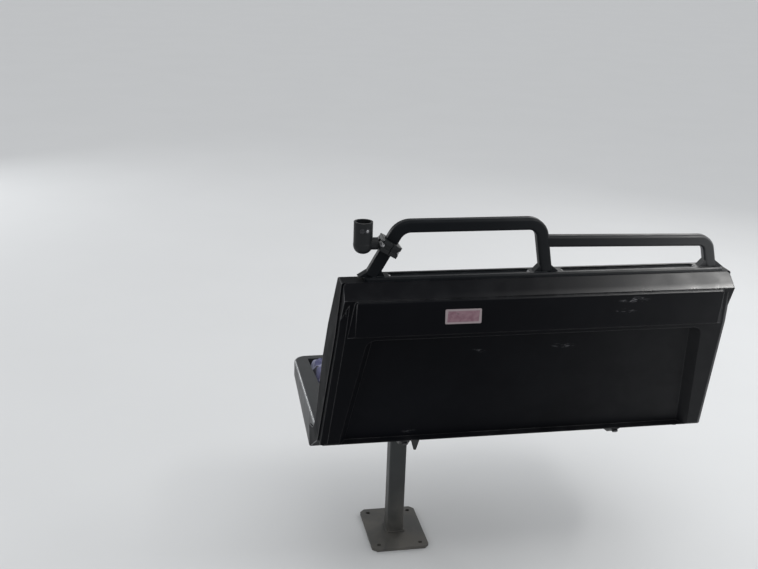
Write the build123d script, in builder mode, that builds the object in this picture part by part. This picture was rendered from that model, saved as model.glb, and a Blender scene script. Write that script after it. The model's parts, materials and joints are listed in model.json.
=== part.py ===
from build123d import *
import os

os.makedirs("parts", exist_ok=True)

# Fixed two-passenger bus seat, in millimetres.
# X runs across the bus to the window wall, Y forward (the way the seat faces), Z up.
# The origin is on the floor, at the centre of the pedestal leg's foot plate.
MID_X = 216.0  # centre plane of the seat, from the leg
RIDGE_Y = -420.0  # rear top ridge of the back, from the leg
WALL = 5.0  # moulded plastic
REACH = 500.0  # longer than any piece that is cut, for cuts that go right through
BELOW_PAN_Z = 300.0

# Back, seen from the side: depth forward of the ridge, and height above the floor
RIDGE = (0.0, 805.0)
BAND_FOOT = (13.0, 725.0)
FACE_TOP = (10.0, 800.0)
SLOPE_FOOT = (5.0, 810.0)
FACE_KNEE = (24.0, 718.0)
FACE_FOOT = (107.0, 432.0)
COVER_DEPTH = 38.0  # rear cover, from its rear face to the seam
LEDGE_Z = 840.0
LEDGE_REAR = 36.0
LEDGE_FRONT = 80.0
BACK_BOTTOM = 424.0
PLATE_TOP = (66.0, 822.0)  # the plate that carries the back pads
PLATE_FOOT = (160.0, 432.0)

# Back, seen from behind
COVER_HALF_TOP = 434.0
COVER_HALF_FOOT = 463.0
COVER_CORNER_R = 10.0
SHELL_CORNER_R = 5.0
SHELL_PROUD = 4.0  # the front shell stands out past the rear cover
SIDE_CHAMFER = 13.0
BAND_HALF = 410.0
BAND_BEVEL = [3.0, 18.0]  # width of the bevel at the band's top and foot
BAND_PROUD = 12.0
BAND_R = 5.0
RECESS_TOP = 712.0
RECESS_HALF_TOP = 381.0
RECESS_HALF_FOOT = 425.0
RECESS_DEPTH = 24.0
RECESS_LEAN = 18.0  # its side walls lean inwards by this over its depth
RECESS_R = 22.0

# Side wings of the front shell
WING_WIDTH = 46.0
WING_FOOT_Z = 342.0
WING_FOOT_FRONT = 287.0
WING_FOOT_REAR = 276.0  # the wing's lower edge rises from here back to the seam

# Seat pan
PAN_HALF = 465.0
PAN_REAR = 168.0
PAN_STEP = 290.0  # from here forward the pan is as wide as the wings
PAN_FRONT = 632.0
PAN_RIM_Z = 430.0
PAN_REAR_FOOT_Z = 337.0
PAN_FRONT_FOOT_Z = 392.0
PAN_CORNER_R = 34.0
TRAY_Z = 406.0
PAD_GAP = 22.0  # rib between the two seat pads
SEAT_PAD_TOP = 443.0
SEAT_PAD_REAR = 182.0
SEAT_PAD_FRONT = 606.0
SEAT_PAD_HALF_REAR = 407.0
SEAT_PAD_HALF_FRONT = 429.0
BACK_PAD_THICK = 32.0
PAD_CORNER_R = 16.0
PAD_BEVEL = 9.0
RIM_R = 7.0  # rounding of the pan's upper rim
RIBS = [-330.0, -150.0, -75.0, 75.0, 150.0, 240.0, 330.0]  # stiffening ribs under the trays, across
RIB_THICK = 3.0
RIB_DROP = 15.0

# Grab rail, in its own upright plane: across from the seat's centre, and height
RAIL_DEPTH = 58.0
BAR_WIDE = 28.0
BAR_TALL = 27.0
LOW_BAR_SLIM = 1.6  # the low bar is this much slimmer where it grows out of the middle post
BAR_R = 8.5
FLANGE_THICK = 8.0
FLANGE_DEEP = 44.0
FLANGE_LEFT = -388.0
FLANGE_RIGHT = 420.0
FLANGE_RIM = 7.0  # rim round the flange's pockets
POCKET_DEPTH = 4.0
FLARE = 15.0  # the rail's feet flare out by this, over as much height
RAIL_FOOT_Z = LEDGE_Z + FLANGE_THICK
HUMP = [(-372.0, RAIL_FOOT_Z), (-313.0, 954.0), (-8.0, 954.0), (11.0, RAIL_FOOT_Z)]
HUMP_BENDS = [38.0, 32.0]
LOW_BAR = [(4.0, 914.0), (381.0, 907.0), (395.0, RAIL_FOOT_Z)]
LOW_BAR_BENDS = [26.0]

# Stanchion fitting on the hump's sloped leg
TUBE_BORE_R = 16.0
SOCKET_R = 20.0
SOCKET_FOOT = [(0.268, 1.0), (0.732, 0.732), (1.0, 0.268)]  # its round foot in steps, in radii out and down
SOCKET_X = -391.0
SOCKET_TOP = 965.0
SOCKET_BORE = 44.0
ARM_R = 13.0  # arm from the socket to the clamp
CLAMP_Z = 911.0
CLAMP_LONG = 25.0
CLAMP_ACROSS = 42.0
CLAMP_DEEP = 58.0
CLAMP_SPLIT = 1.5
CLAMP_RIDGE = 8.0
CLAMP_WAIST = 6.0

# Frame under the seat
TUBE = 38.0
TUBE_WALL = 3.0
TUBE_TOP = TRAY_Z - WALL
REAR_TUBE = 322.0
FRONT_TUBE = 540.0
TUBE_AISLE_END = -450.0
CAP_THICK = 4.0
TAB_X = -193.0
TAB_FOOT_Z = 291.0
WALL_PLATE_X = 478.0
WALL_PLATE_THICK = 8.0
LEG = 44.0
LEG_WALL = 3.0
CHANNEL_WALL = 6.0
CHANNEL_DROP = 12.0  # the leg head's top lies this much below the tubes' tops
GUSSET = (54.0, 78.0, 5.0)
FOOT_PLATE = (150.0, 200.0, 8.0)
FOOT_HOLES = (110.0, 160.0)
PLATE_CLIP = 12.0  # clipped corners of the two bolted plates
BOLT_R = 5.5

# Planes through the seat: side (depth, height), rear (across, height), level (across, depth)
side = Plane(origin=(MID_X, RIDGE_Y, 0), x_dir=(0, 1, 0), z_dir=(1, 0, 0))
rear = Plane(origin=(MID_X, RIDGE_Y, 0), x_dir=(1, 0, 0), z_dir=(0, -1, 0))
level = Plane(origin=(MID_X, RIDGE_Y, 0))


def finish(builder, label):
    """Labels a finished sub-part and writes it."""
    builder.part.label = label
    export_step(builder.part, f"parts/{label}.step")


def polygon(plane, *points):
    """A face on the plane with these corners."""
    with BuildSketch(plane) as outline:
        with BuildLine():
            Polyline(*points, close=True)
        make_face()
    return outline.sketch


def mirrored_polygon(plane, *points, top_round=0.0):
    """A face on the plane from its right-hand corners, the left-hand ones mirrored."""
    with BuildSketch(plane) as outline:
        with BuildLine():
            Polyline(*points, *[(-across, up) for across, up in reversed(points)], close=True)
        make_face()
        if top_round:
            fillet(outline.vertices().sort_by(Axis.Y)[-2:], top_round)
    return outline.sketch


def half_width(height, proud=0.0):
    """Half the back's width at a height, by its straight tapered sides."""
    share = (LEDGE_Z - height) / (LEDGE_Z - FACE_FOOT[1])
    return COVER_HALF_TOP + proud + share * (COVER_HALF_FOOT - COVER_HALF_TOP)


def tilted(point, start, end):
    """Plane across the seat through a side point, facing back, its Y up along start to end."""
    rise = Vector(0, start[0] - end[0], start[1] - end[1]).normalized()
    normal = Vector(1, 0, 0).cross(rise)
    return Plane(origin=(MID_X, RIDGE_Y + point[0], point[1]), x_dir=(1, 0, 0), z_dir=normal)


face_plane = tilted(FACE_KNEE, FACE_KNEE, FACE_FOOT)
band_plane = tilted(RIDGE, RIDGE, BAND_FOOT)
plate_plane = tilted(PLATE_FOOT, PLATE_TOP, PLATE_FOOT)

# The seam runs parallel to the rear face
seam_top = (LEDGE_REAR, LEDGE_Z)
seam_knee = (FACE_KNEE[0] + COVER_DEPTH - 8, FACE_KNEE[1])
seam_foot = (FACE_FOOT[0] + COVER_DEPTH, BACK_BOTTOM)

recess_top = RECESS_TOP - FACE_KNEE[1]
recess_foot = BACK_BOTTOM - RECESS_TOP - 20


def tapered_sides(inset):
    """Rear view of the cover between its straight tapered sides."""
    top, foot = LEDGE_Z - inset, BACK_BOTTOM + inset
    return mirrored_polygon(rear, (half_width(top) - inset, top), (half_width(foot) - inset, foot),
                            top_round=COVER_CORNER_R - inset)


def recess_face(depth, grown):
    """The knee recess at a depth: its sides flare downwards and lean inwards, its bottom is open."""
    lean = grown - RECESS_LEAN * depth / RECESS_DEPTH
    return mirrored_polygon(face_plane.offset(-depth), (RECESS_HALF_TOP + lean, recess_top + grown),
                            (RECESS_HALF_FOOT + lean, recess_foot), top_round=RECESS_R)


def rear_corners(builder, shortest):
    """The upright edges, this long or longer, between the cover's rear face and its sides."""
    def at_corner(edge):
        middle = edge.center()
        behind_seam = middle.Y - RIDGE_Y < 35 + (FACE_TOP[1] - middle.Z) * 0.2
        return abs(middle.X - MID_X) > BAND_HALF + 8 and behind_seam and edge.length > shortest
    return builder.edges().filter_by(at_corner)


# Rear cover: tapered housing with a raised band and a flared knee recess
with BuildPart() as cover_hollow:
    extrude(polygon(side, (seam_top[0] + 1, LEDGE_Z - WALL), (SLOPE_FOOT[0] + 9, SLOPE_FOOT[1]),
                    (FACE_TOP[0] + WALL, FACE_TOP[1]), (FACE_KNEE[0] + WALL, FACE_KNEE[1]),
                    (FACE_FOOT[0] + WALL, FACE_FOOT[1] + WALL), (FACE_FOOT[0] + 3 * WALL, BACK_BOTTOM + WALL),
                    (seam_foot[0] + 1, BACK_BOTTOM + WALL), (seam_knee[0] + 1, seam_knee[1])),
            amount=PAN_HALF, both=True)
    extrude(tapered_sides(WALL), amount=REACH, both=True, mode=Mode.INTERSECT)
    chamfer(rear_corners(cover_hollow, 200), SIDE_CHAMFER - 2)
    loft([recess_face(0, WALL), recess_face(RECESS_DEPTH + WALL, WALL)], mode=Mode.SUBTRACT)

# Raised band on the rear face, bevelled all round
band_long = RIDGE[1] - BAND_FOOT[1]
with BuildPart() as band:
    loft([
        mirrored_polygon(band_plane, (BAND_HALF, 0), (BAND_HALF, -band_long)),
        mirrored_polygon(band_plane.offset(-BAND_PROUD), (BAND_HALF + BAND_BEVEL[0], BAND_BEVEL[0]),
                         (BAND_HALF + BAND_BEVEL[1], -band_long - BAND_BEVEL[1] / 2)),
    ])
    fillet(band.faces().sort_by(Axis.Y)[0].edges(), BAND_R)

with BuildPart() as rear_cover:
    extrude(polygon(side, seam_top, SLOPE_FOOT, FACE_TOP, FACE_KNEE, FACE_FOOT,
                    (FACE_FOOT[0] + 10, BACK_BOTTOM), seam_foot, seam_knee), amount=PAN_HALF, both=True)
    extrude(tapered_sides(0), amount=REACH, both=True, mode=Mode.INTERSECT)
    chamfer(rear_corners(rear_cover, 60), SIDE_CHAMFER)
    add(band.part)
    loft([recess_face(0, 0), recess_face(RECESS_DEPTH, 0)], mode=Mode.SUBTRACT)
    add(cover_hollow.part, mode=Mode.SUBTRACT)
finish(rear_cover, "rear_cover")

# Front shell: ledge, plate for the back pads, and wings that run down beside the pan
wing_front = [(LEDGE_FRONT, LEDGE_Z), (144, 711), (176, 610), (190, 470), (208, 425), (WING_FOOT_FRONT, 398)]
wing_rounds = [10, 90, 160, 70, 40, 10]
with BuildPart() as back_shell:
    with BuildSketch(side) as wing_side:
        with BuildLine():
            Polyline(seam_top, *wing_front, (WING_FOOT_FRONT, WING_FOOT_Z),
                     (WING_FOOT_REAR, WING_FOOT_Z), seam_foot, seam_knee, close=True)
        make_face()
        for point, radius in zip(wing_front, wing_rounds):
            fillet(wing_side.vertices().sort_by_distance(point)[0], radius)
    extrude(amount=REACH, both=True)
    shell_top = half_width(LEDGE_Z, SHELL_PROUD)
    shell_foot = half_width(BACK_BOTTOM, SHELL_PROUD)
    extrude(mirrored_polygon(rear, (shell_top, LEDGE_Z), (shell_foot, BACK_BOTTOM), (PAN_HALF, WING_FOOT_Z),
                             top_round=SHELL_CORNER_R), amount=REACH, both=True, mode=Mode.INTERSECT)
    # Pocket for the pads between the wings, open below the plate
    pocket_half = [half_width(z) - WING_WIDTH for z in (PLATE_TOP[1], PLATE_FOOT[1])]
    plate_long = Vector(0, PLATE_TOP[0] - PLATE_FOOT[0], PLATE_TOP[1] - PLATE_FOOT[1]).length
    extrude(mirrored_polygon(plate_plane, (pocket_half[0], plate_long), (pocket_half[1], 0),
                             (pocket_half[1], -150)), amount=-REACH, mode=Mode.SUBTRACT)
    extrude(polygon(level.offset(BACK_BOTTOM), (-pocket_half[1], 0), (pocket_half[1], 0),
                    (pocket_half[1], 400), (-pocket_half[1], 400)), amount=-200, mode=Mode.SUBTRACT)
    # Hollow behind the plate and in the upper wings, open to the seam
    seam_line = polygon(side, (seam_top[0] - 30, LEDGE_Z - WALL), (PLATE_TOP[0] - WALL, LEDGE_Z - WALL),
                        (PLATE_TOP[0] - WALL, PLATE_TOP[1]),
                        (PLATE_FOOT[0] - WALL - 1, BACK_BOTTOM + WALL), (0, BACK_BOTTOM + WALL))
    extrude(seam_line, amount=pocket_half[0], both=True, mode=Mode.SUBTRACT)
finish(back_shell, "back_shell")

# Seat pan: grey tray with two recesses for the pads, open underneath
tray_outlines = [((sign * PAD_GAP / 2, SEAT_PAD_REAR), (sign * SEAT_PAD_HALF_REAR, SEAT_PAD_REAR),
                  (sign * SEAT_PAD_HALF_FRONT, SEAT_PAD_FRONT), (sign * PAD_GAP / 2, SEAT_PAD_FRONT))
                 for sign in (-1, 1)]
rear_half = PAN_HALF - WING_WIDTH - 4


def pan_outline(inset, height):
    """Top view of the pan: narrow between the wings, then full width with rounded front corners."""
    with BuildSketch(level.offset(height)) as outline:
        with BuildLine():
            Polyline((inset - rear_half, PAN_REAR + inset), (rear_half - inset, PAN_REAR + inset),
                     (rear_half - inset, PAN_STEP + inset), (PAN_HALF - inset, PAN_STEP + inset),
                     (PAN_HALF - inset, PAN_FRONT - inset), (inset - PAN_HALF, PAN_FRONT - inset),
                     (inset - PAN_HALF, PAN_STEP + inset), (inset - rear_half, PAN_STEP + inset), close=True)
        make_face()
        fillet(outline.vertices().sort_by(Axis.Y)[-2:], PAN_CORNER_R - inset)
    return outline.sketch


with BuildPart() as seat_pan:
    extrude(polygon(side, (PAN_REAR, PAN_RIM_Z), (PAN_FRONT, PAN_RIM_Z), (PAN_FRONT, PAN_FRONT_FOOT_Z),
                    (PAN_STEP, PAN_REAR_FOOT_Z), (PAN_REAR, PAN_REAR_FOOT_Z)), amount=REACH, both=True)
    extrude(pan_outline(0, BELOW_PAN_Z), amount=REACH, mode=Mode.INTERSECT)
    fillet(seat_pan.edges().filter_by(
        lambda edge: edge.center().Z > PAN_RIM_Z - 1 and edge.center().Y > RIDGE_Y + PAN_STEP + 1), RIM_R)
    extrude(pan_outline(WALL, BELOW_PAN_Z), amount=PAN_RIM_Z - WALL - BELOW_PAN_Z, mode=Mode.SUBTRACT)
    # No wall at the back below the tray, and two notches for the cross tubes on the window side
    extrude(polygon(level.offset(BELOW_PAN_Z), (-rear_half - 1, PAN_REAR - 1), (rear_half + 1, PAN_REAR - 1),
                    (rear_half + 1, PAN_STEP - 1), (-rear_half - 1, PAN_STEP - 1)),
            amount=TUBE_TOP - BELOW_PAN_Z, mode=Mode.SUBTRACT)
    for depth in (REAR_TUBE, FRONT_TUBE):
        extrude(polygon(level.offset(BELOW_PAN_Z), (PAN_HALF - 2 * WALL, depth - TUBE / 2 - 2),
                        (PAN_HALF + 1, depth - TUBE / 2 - 2), (PAN_HALF + 1, depth + TUBE / 2 + 2),
                        (PAN_HALF - 2 * WALL, depth + TUBE / 2 + 2)),
                amount=TUBE_TOP + 1 - BELOW_PAN_Z, mode=Mode.SUBTRACT)
    for corners in tray_outlines:
        with BuildSketch(level.offset(TUBE_TOP)) as tray:
            with BuildLine():
                Polyline(*corners, close=True)
            make_face()
            offset(amount=WALL, kind=Kind.INTERSECTION)
        extrude(amount=PAN_RIM_Z - TUBE_TOP)
    for corners in tray_outlines:
        extrude(polygon(level.offset(TRAY_Z), *corners), amount=100, mode=Mode.SUBTRACT)
    # Ribs that stiffen the trays between the two cross tubes
    with BuildSketch(level.offset(TUBE_TOP + 1)):
        with Locations([(across, (REAR_TUBE + FRONT_TUBE) / 2) for across in RIBS]):
            Rectangle(RIB_THICK, FRONT_TUBE - REAR_TUBE - TUBE - 4)
    extrude(amount=-RIB_DROP)
finish(seat_pan, "seat_pan")

# Two seat pads in the pan's trays and two back pads on the shell's plate
for place, corners in zip(("aisle", "window"), tray_outlines):
    with BuildPart() as seat_pad:
        with BuildSketch(level.offset(TRAY_Z)) as pad:
            with BuildLine():
                Polyline(*corners, close=True)
            make_face()
            offset(amount=-1)
            fillet(pad.vertices(), PAD_CORNER_R)
        extrude(amount=SEAT_PAD_TOP - TRAY_Z)
        chamfer(seat_pad.faces().sort_by(Axis.Z)[-1].edges(), PAD_BEVEL)
    finish(seat_pad, f"seat_pad_{place}")

back_pad_foot = 14
back_pad_head = plate_long - 6
for place, sign in (("aisle", -1), ("window", 1)):
    with BuildPart() as back_pad:
        with BuildSketch(plate_plane) as pad:
            with BuildLine():
                Polyline((sign * PAD_GAP / 2, back_pad_foot), (sign * (pocket_half[1] - 3), back_pad_foot),
                         (sign * (pocket_half[0] - 2), back_pad_head), (sign * PAD_GAP / 2, back_pad_head),
                         close=True)
            make_face()
            fillet(pad.vertices(), PAD_CORNER_R)
        extrude(amount=-BACK_PAD_THICK)
        chamfer(back_pad.faces().sort_by(Axis.Y)[-1].edges(), PAD_BEVEL)
    finish(back_pad, f"back_pad_{place}")

# Grab rail: hump, middle post and low bar on one long flange
rail_plane = Plane(origin=(MID_X, RIDGE_Y + RAIL_DEPTH, 0), x_dir=(1, 0, 0), z_dir=(0, -1, 0))


def bar(points, bends, slim=0.0):
    """One bar of the rail, swept along straight runs joined by arcs."""
    with BuildPart() as run:
        with BuildLine(rail_plane) as path:
            FilletPolyline(*points, radius=bends)
        with BuildSketch(Plane(origin=path.line @ 0, x_dir=(0, 1, 0), z_dir=path.line % 0)):
            RectangleRounded(BAR_WIDE - slim, BAR_TALL - slim, BAR_R)
        sweep(path=path.line)
    return run.part


with BuildPart() as grab_rail:
    add(bar(HUMP, HUMP_BENDS))
    add(bar(LOW_BAR, LOW_BAR_BENDS, LOW_BAR_SLIM))
    # Feet that flare out onto the flange
    feet = [(HUMP[0], HUMP[1]), (HUMP[3], HUMP[2]), (LOW_BAR[2], LOW_BAR[1])]
    for foot, knee in feet:
        lean = (knee[0] - foot[0]) / (knee[1] - foot[1])
        neck = foot[0] + lean * FLARE
        low, high = RAIL_FOOT_Z - 1, RAIL_FOOT_Z + FLARE
        half_bar = BAR_TALL / 2
        extrude(polygon(rail_plane, (foot[0] - half_bar - FLARE, low), (foot[0] + half_bar + FLARE, low),
                        (neck + half_bar - 3, high), (neck - half_bar + 3, high)),
                amount=BAR_WIDE / 2 - 4, both=True)
    # Flange with bevelled edges, and two pockets between the feet
    with BuildPart() as flange:
        with BuildSketch(level.offset(LEDGE_Z)):
            with Locations(((FLANGE_LEFT + FLANGE_RIGHT) / 2, RAIL_DEPTH)):
                RectangleRounded(FLANGE_RIGHT - FLANGE_LEFT, FLANGE_DEEP, 10)
        extrude(amount=FLANGE_THICK)
        chamfer(flange.faces().sort_by(Axis.Z)[-1].edges(), 3)
        with BuildSketch(level.offset(RAIL_FOOT_Z)):
            for left, right in ((HUMP[0][0], HUMP[3][0]), (HUMP[3][0], LOW_BAR[2][0])):
                pocket_long = right - left - BAR_TALL - 2 * FLARE - 16
                with Locations(((left + right) / 2, RAIL_DEPTH)):
                    RectangleRounded(pocket_long, FLANGE_DEEP - 6 - 2 * FLANGE_RIM, 8)
        extrude(amount=-POCKET_DEPTH, mode=Mode.SUBTRACT)
    add(flange.part)
    split(bisect_by=level.offset(LEDGE_Z), keep=Keep.TOP)
finish(grab_rail, "grab_rail")

# Stanchion fitting: elbow with its half of the clamp, and the clamp's loose half
leg_low, leg_high = Vector(*HUMP[0]), Vector(*HUMP[1])
leg_way = (leg_high - leg_low).normalized()
clamp_share = (CLAMP_Z - HUMP[0][1]) / (HUMP[1][1] - HUMP[0][1])
clamp_at = leg_low + (leg_high - leg_low) * clamp_share
clamp_centre = rail_plane.from_local_coords(Vector(clamp_at.X, clamp_at.Y, 0))
clamp_axis = Vector(leg_way.X, 0, leg_way.Y)
clamp_plane = Plane(origin=clamp_centre - clamp_axis * CLAMP_LONG / 2, x_dir=(0, 1, 0), z_dir=clamp_axis)


def clamp_half(outward):
    """One half of the split clamp, with a ridge at each end, its hole the bar's own section."""
    far_ridge = CLAMP_LONG - CLAMP_RIDGE
    runs = [(0, CLAMP_RIDGE, 0), (CLAMP_RIDGE, far_ridge, CLAMP_WAIST), (far_ridge, CLAMP_LONG, 0)]
    with BuildPart() as half:
        for start, end, waist in runs:
            with BuildSketch(clamp_plane.offset(start)):
                RectangleRounded(CLAMP_DEEP - waist, CLAMP_ACROSS - waist, 6)
                with Locations((0, -outward * (CLAMP_ACROSS / 2 - CLAMP_SPLIT / 2))):
                    Rectangle(CLAMP_DEEP, CLAMP_ACROSS, mode=Mode.SUBTRACT)
                RectangleRounded(BAR_WIDE, BAR_TALL, BAR_R, mode=Mode.SUBTRACT)
            extrude(amount=end - start)
    return half.part


socket_axis = Plane(origin=(MID_X + SOCKET_X, RIDGE_Y + RAIL_DEPTH, SOCKET_TOP), z_dir=(0, 0, -1))
elbow_z = SOCKET_TOP - SOCKET_BORE - 4
with BuildPart() as stanchion_elbow:
    with BuildSketch(Plane(origin=(MID_X + SOCKET_X, RIDGE_Y + RAIL_DEPTH, elbow_z),
                           x_dir=(1, 0, 0), z_dir=(0, -1, 0))):
        with BuildLine():
            foot = [(SOCKET_R * out, -SOCKET_R * down) for out, down in SOCKET_FOOT]
            Polyline((0, SOCKET_TOP - elbow_z), (0, -SOCKET_R), *foot,
                     (SOCKET_R, SOCKET_TOP - elbow_z), close=True)
        make_face()
    revolve(axis=Axis((MID_X + SOCKET_X, RIDGE_Y + RAIL_DEPTH, 0), (0, 0, 1)))
    with BuildSketch(Plane(origin=(MID_X + SOCKET_X, RIDGE_Y + RAIL_DEPTH, elbow_z), z_dir=(1, 0, 0))):
        Circle(ARM_R)
    extrude(amount=clamp_at.X - SOCKET_X - 23)
    add(clamp_half(1))
    with BuildSketch(socket_axis):
        Circle(TUBE_BORE_R)
    extrude(amount=SOCKET_BORE, mode=Mode.SUBTRACT)
finish(stanchion_elbow, "stanchion_elbow")

with BuildPart() as clamp_cap:
    add(clamp_half(-1))
finish(clamp_cap, "clamp_cap")

# Frame under the seat: two cross tubes, two side members and the back brackets
tube_mid = TUBE_TOP - TUBE / 2
for label, depth in (("rear_cross_tube", REAR_TUBE), ("front_cross_tube", FRONT_TUBE)):
    with BuildPart() as cross_tube:
        with BuildSketch(Plane(origin=(MID_X + TUBE_AISLE_END, RIDGE_Y + depth, tube_mid), z_dir=(1, 0, 0))):
            RectangleRounded(TUBE, TUBE, 5)
            Rectangle(TUBE - 2 * TUBE_WALL, TUBE - 2 * TUBE_WALL, mode=Mode.SUBTRACT)
        extrude(amount=WALL_PLATE_X - TUBE_AISLE_END)
    finish(cross_tube, label)
    with BuildPart() as tube_cap:
        with BuildSketch(Plane(origin=(MID_X + TUBE_AISLE_END, RIDGE_Y + depth, tube_mid), z_dir=(-1, 0, 0))):
            RectangleRounded(TUBE, TUBE, 5)
        extrude(amount=CAP_THICK)
    finish(tube_cap, f"tube_cap_{label.split('_')[0]}")

member_from = REAR_TUBE + TUBE / 2
member_to = FRONT_TUBE - TUBE / 2
for label, across in (("side_member_aisle", -390.0), ("side_member_window", 390.0)):
    with BuildPart() as side_member:
        with BuildSketch(Plane(origin=(MID_X + across, RIDGE_Y + member_from, tube_mid),
                               x_dir=(1, 0, 0), z_dir=(0, 1, 0))):
            RectangleRounded(25, TUBE - 10, 4)
            Rectangle(25 - 2 * TUBE_WALL, TUBE - 10 - 2 * TUBE_WALL, mode=Mode.SUBTRACT)
        extrude(amount=member_to - member_from)
    finish(side_member, label)

bracket_rear = REAR_TUBE - TUBE / 2
for label, across in (("back_bracket_aisle", -260.0), ("back_bracket_window", 260.0)):
    with BuildPart() as back_bracket:
        bracket_side = Plane(origin=(MID_X + across, RIDGE_Y, 0), x_dir=(0, 1, 0), z_dir=(1, 0, 0))
        extrude(polygon(bracket_side, (bracket_rear, TUBE_TOP - TUBE + 4), (bracket_rear, TUBE_TOP - 1),
                        (PAN_REAR - 2, TUBE_TOP - 1), (PAN_REAR - 8, BACK_BOTTOM), (146, BACK_BOTTOM),
                        (146, BACK_BOTTOM - 14), (PAN_REAR, TUBE_TOP - 11), (210, TUBE_TOP - 18)),
                amount=12, both=True)
    finish(back_bracket, label)

# Pointed tab that hangs from the rear tube beside the leg
with BuildPart() as hanging_tab:
    tab_plane = Plane(origin=(MID_X + TAB_X, RIDGE_Y + REAR_TUBE, 0), x_dir=(1, 0, 0), z_dir=(0, -1, 0))
    extrude(mirrored_polygon(tab_plane, (19, TUBE_TOP - TUBE), (19, TUBE_TOP - TUBE - 16), (3, TAB_FOOT_Z)),
            amount=3, both=True)
finish(hanging_tab, "hanging_tab")

# Wall bracket on the window side, with a rectangle of four bolt holes
wall_mid_depth = (REAR_TUBE + FRONT_TUBE) / 2
with BuildPart() as wall_bracket:
    with BuildSketch(Plane(origin=(MID_X + WALL_PLATE_X, RIDGE_Y + wall_mid_depth, tube_mid),
                           x_dir=(0, 1, 0), z_dir=(1, 0, 0))):
        plate = Rectangle(FRONT_TUBE - REAR_TUBE + 120, 84)
        chamfer(plate.vertices(), PLATE_CLIP)
        with GridLocations(160, 50, 2, 2):
            Circle(BOLT_R, mode=Mode.SUBTRACT)
    extrude(amount=WALL_PLATE_THICK)
finish(wall_bracket, "wall_bracket")

# Pedestal: channel between the cross tubes, leg with its gussets, and foot plate
channel_inside = LEG + 0.4
channel_top = TUBE_TOP - CHANNEL_DROP
with BuildPart() as leg_head:
    with BuildSketch(Plane(origin=(0, RIDGE_Y + member_to, channel_top), x_dir=(1, 0, 0), z_dir=(0, -1, 0))):
        Rectangle(channel_inside + 2 * CHANNEL_WALL, 50, align=(Align.CENTER, Align.MAX))
        with Locations((0, -CHANNEL_WALL)):
            Rectangle(channel_inside, 50, align=(Align.CENTER, Align.MAX), mode=Mode.SUBTRACT)
    extrude(amount=member_to - member_from)
finish(leg_head, "leg_head")

leg_top = channel_top - CHANNEL_WALL
with BuildPart() as pedestal_leg:
    with BuildSketch(Plane.XY.offset(FOOT_PLATE[2])):
        RectangleRounded(LEG, LEG, 6)
        Rectangle(LEG - 2 * LEG_WALL, LEG - 2 * LEG_WALL, mode=Mode.SUBTRACT)
    extrude(amount=leg_top - FOOT_PLATE[2])
finish(pedestal_leg, "pedestal_leg")

for label, way in (("leg_gusset_front", 1), ("leg_gusset_rear", -1)):
    with BuildPart() as gusset:
        extrude(polygon(Plane.YZ, (way * LEG / 2, leg_top), (way * (LEG / 2 + GUSSET[0]), leg_top),
                        (way * (LEG / 2 + GUSSET[0]), leg_top - 12), (way * LEG / 2, leg_top - GUSSET[1])),
                amount=GUSSET[2] / 2, both=True)
    finish(gusset, label)

with BuildPart() as foot_plate:
    with BuildSketch():
        plate = Rectangle(FOOT_PLATE[0], FOOT_PLATE[1])
        chamfer(plate.vertices(), PLATE_CLIP)
        with GridLocations(*FOOT_HOLES, 2, 2):
            Circle(BOLT_R, mode=Mode.SUBTRACT)
    extrude(amount=FOOT_PLATE[2])
finish(foot_plate, "foot_plate")
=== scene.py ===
import json
import math

import bmesh
import bpy
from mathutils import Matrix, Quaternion, Vector, noise


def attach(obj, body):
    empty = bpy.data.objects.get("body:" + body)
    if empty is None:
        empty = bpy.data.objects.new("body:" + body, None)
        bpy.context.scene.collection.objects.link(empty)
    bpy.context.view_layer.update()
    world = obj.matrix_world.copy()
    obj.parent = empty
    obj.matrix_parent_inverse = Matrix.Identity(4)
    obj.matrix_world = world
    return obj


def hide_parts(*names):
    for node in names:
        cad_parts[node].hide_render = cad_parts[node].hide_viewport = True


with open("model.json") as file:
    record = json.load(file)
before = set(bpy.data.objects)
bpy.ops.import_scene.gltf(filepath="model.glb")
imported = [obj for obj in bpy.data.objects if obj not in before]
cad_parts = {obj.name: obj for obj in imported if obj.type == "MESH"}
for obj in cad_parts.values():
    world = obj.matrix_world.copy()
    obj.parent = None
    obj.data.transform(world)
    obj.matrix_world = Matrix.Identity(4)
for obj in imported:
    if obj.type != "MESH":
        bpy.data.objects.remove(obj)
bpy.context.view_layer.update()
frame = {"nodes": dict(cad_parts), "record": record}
nodes = frame["nodes"]

# Places are given as in the CAD: millimetres across from the seat's centre, forward of the ridge, and up
MID_X, RIDGE_Y = 216.0, -420.0
SIDES = (("aisle", -1), ("window", 1))


def at(across, depth, height):
    return Vector((MID_X + across, RIDGE_Y + depth, height)) / 1000


def mm(*values):
    return Vector(values) / 1000


# ---------------------------------------------------------------- camera and light
# The camera stands where the photo's stood, turned to the seat and with a longer lens
PHOTO_EYE = at(-790.0, -2048.0, 1567.0)
FRAME_WIDTH, PHOTO_FOCAL = 758.0, 569.0
SENSOR_WIDTH, LONGER = 36.0, 1.9
turn, tilt, roll = math.radians(11.7), math.radians(19.0), math.radians(2.0)
camera_data = bpy.data.cameras.new("camera")
camera_data.sensor_width = SENSOR_WIDTH
camera_data.lens = SENSOR_WIDTH * PHOTO_FOCAL / FRAME_WIDTH * LONGER
camera = bpy.data.objects.new("camera", camera_data)
bpy.context.collection.objects.link(camera)
camera.location = PHOTO_EYE
looking = Vector((math.sin(turn) * math.cos(tilt), math.cos(turn) * math.cos(tilt), -math.sin(tilt)))
camera.rotation_euler = (looking.to_track_quat("-Z", "Y") @ Quaternion((0, 0, 1), roll)).to_euler()
bpy.context.scene.camera = camera


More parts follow.
